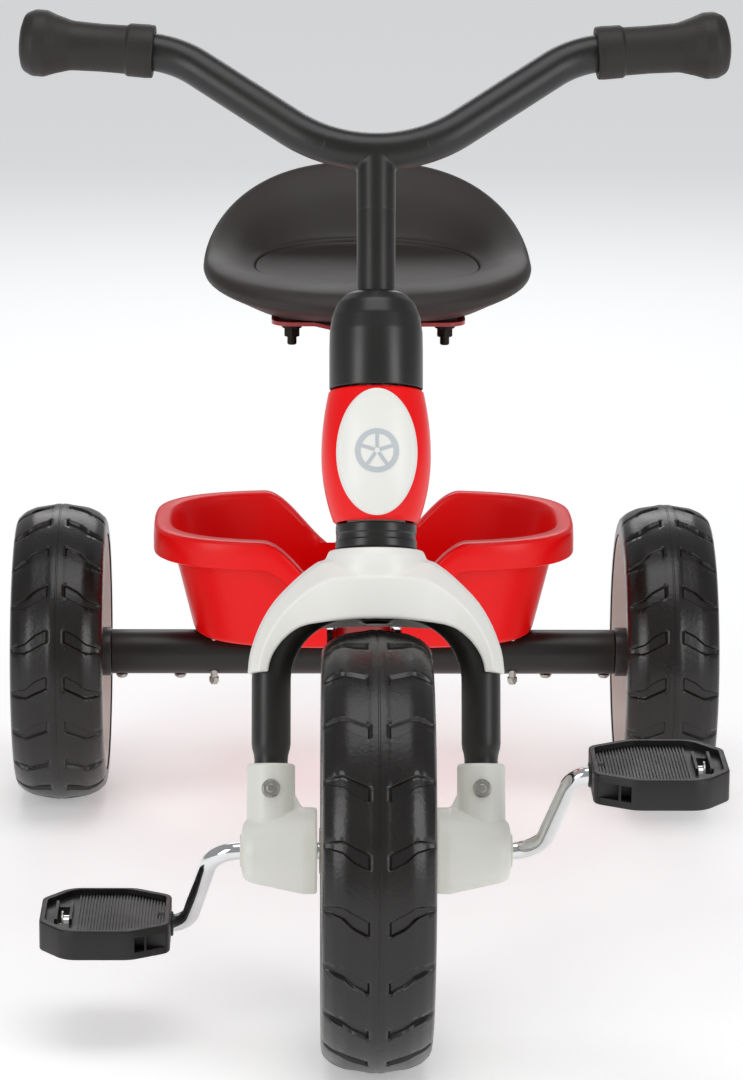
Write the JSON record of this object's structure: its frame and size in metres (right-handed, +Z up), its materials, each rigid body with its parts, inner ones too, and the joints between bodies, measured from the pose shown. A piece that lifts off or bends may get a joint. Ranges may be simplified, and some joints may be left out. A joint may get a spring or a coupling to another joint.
{
  "type": "children's tricycle",
  "caption": "Child's pedal tricycle: bent main tube, moulded bucket seat, twin-bin rear tub, raked fork with direct-drive crank and swept handlebar.",
  "frame": {"origin": "on the floor, on the centre plane, halfway along the overall length", "axes": "+Y to the rear, +X to the rider's left, +Z up; the front wheel is at -Y"},
  "size_m": [0.4684, 0.742, 0.5766],
  "materials": {
    "red_paint": "gloss powder coat, deep red",
    "black_paint": "satin powder coat, black",
    "red_plastic": "moulded polypropylene, bright red, glossy",
    "white_plastic": "moulded, warm white, soft gloss",
    "black_plastic": "moulded, satin black, fine grain",
    "grip_rubber": "soft moulded grip, matt black-brown",
    "tyre_foam": "moulded one-piece tyre, soft sheen, grooved tread",
    "chrome_steel": "bright plated rod",
    "zinc_steel": "zinc plated",
    "nylon": "natural nylon bush"
  },
  "bodies": {
    "frame": {"main_tube": "red_paint", "head_tube": "red_paint", "head_cover_front": "red_plastic", "head_cover_rear": "red_plastic", "badge": "white_plastic", "upper_bush": "nylon", "lower_bush": "nylon", "seat_bracket": "red_paint", "seat_shell": "black_plastic", "seat_bolt_front_left": "zinc_steel", "seat_bolt_front_right": "zinc_steel", "seat_bolt_rear_left": "zinc_steel", "seat_bolt_rear_right": "zinc_steel", "rear_axle_tube": "black_paint", "rear_axle_rod": "zinc_steel", "axle_bush_left": "black_plastic", "axle_bush_right": "black_plastic", "bush_screw_left_1": "zinc_steel", "bush_screw_left_2": "zinc_steel", "bush_screw_right_1": "zinc_steel", "bush_screw_right_2": "zinc_steel", "axle_cap_left": "zinc_steel", "axle_cap_right": "zinc_steel", "bucket": "red_plastic", "bucket_bolt_left": "zinc_steel", "bucket_bolt_right": "zinc_steel"},
    "steering": {"handlebar": "black_paint", "stem_tube": "black_paint", "grip_left": "grip_rubber", "grip_right": "grip_rubber", "head_cap": "black_plastic", "stem_clamp": "zinc_steel", "clamp_screw": "zinc_steel", "lower_collar": "black_plastic", "steerer": "zinc_steel", "steerer_plug": "zinc_steel", "crown_bolt": "black_paint", "fork_tube": "black_paint", "fork_cover": "white_plastic", "axle_housing_left": "white_plastic", "axle_housing_right": "white_plastic", "housing_bolt_left": "zinc_steel", "housing_bolt_right": "zinc_steel", "crank_bush_left": "nylon", "crank_bush_right": "nylon"},
    "front_wheel": {"front_tyre": "tyre_foam", "front_rim": "white_plastic", "crank": "chrome_steel", "hub_spacer_left": "nylon", "hub_spacer_right": "nylon", "pedal_clip_left": "zinc_steel", "pedal_clip_right": "zinc_steel"},
    "pedal_left_body": {"pedal_left": "black_plastic"},
    "pedal_right_body": {"pedal_right": "black_plastic"},
    "rear_wheel_left": {"rear_tyre_left": "tyre_foam", "rear_rim_left": "white_plastic", "wheel_cap_left": "red_plastic"},
    "rear_wheel_right": {"rear_tyre_right": "tyre_foam", "rear_rim_right": "white_plastic", "wheel_cap_right": "red_plastic"}
  },
  "joints": [
    {"name": "steer", "type": "hinge", "parent": "frame", "child": "steering", "pos_m": [0, -0.246, 0.125], "axis": [0, 0.342, 0.9397], "range_deg": [-45, 45]},
    {"name": "front_wheel_spin", "type": "hinge", "parent": "steering", "child": "front_wheel", "pos_m": [0, -0.246, 0.125], "axis": [1, 0, 0], "continuous": true},
    {"name": "pedal_left_spin", "type": "hinge", "parent": "front_wheel", "child": "pedal_left_body", "pos_m": [0.155, -0.29218, 0.1841], "axis": [1, 0, 0], "continuous": true},
    {"name": "pedal_right_spin", "type": "hinge", "parent": "front_wheel", "child": "pedal_right_body", "pos_m": [-0.155, -0.19983, 0.0659], "axis": [1, 0, 0], "continuous": true},
    {"name": "rear_left_spin", "type": "hinge", "parent": "frame", "child": "rear_wheel_left", "pos_m": [0.2037, 0.271, 0.1], "axis": [1, 0, 0], "continuous": true},
    {"name": "rear_right_spin", "type": "hinge", "parent": "frame", "child": "rear_wheel_right", "pos_m": [-0.2037, 0.271, 0.1], "axis": [1, 0, 0], "continuous": true}
  ]
}
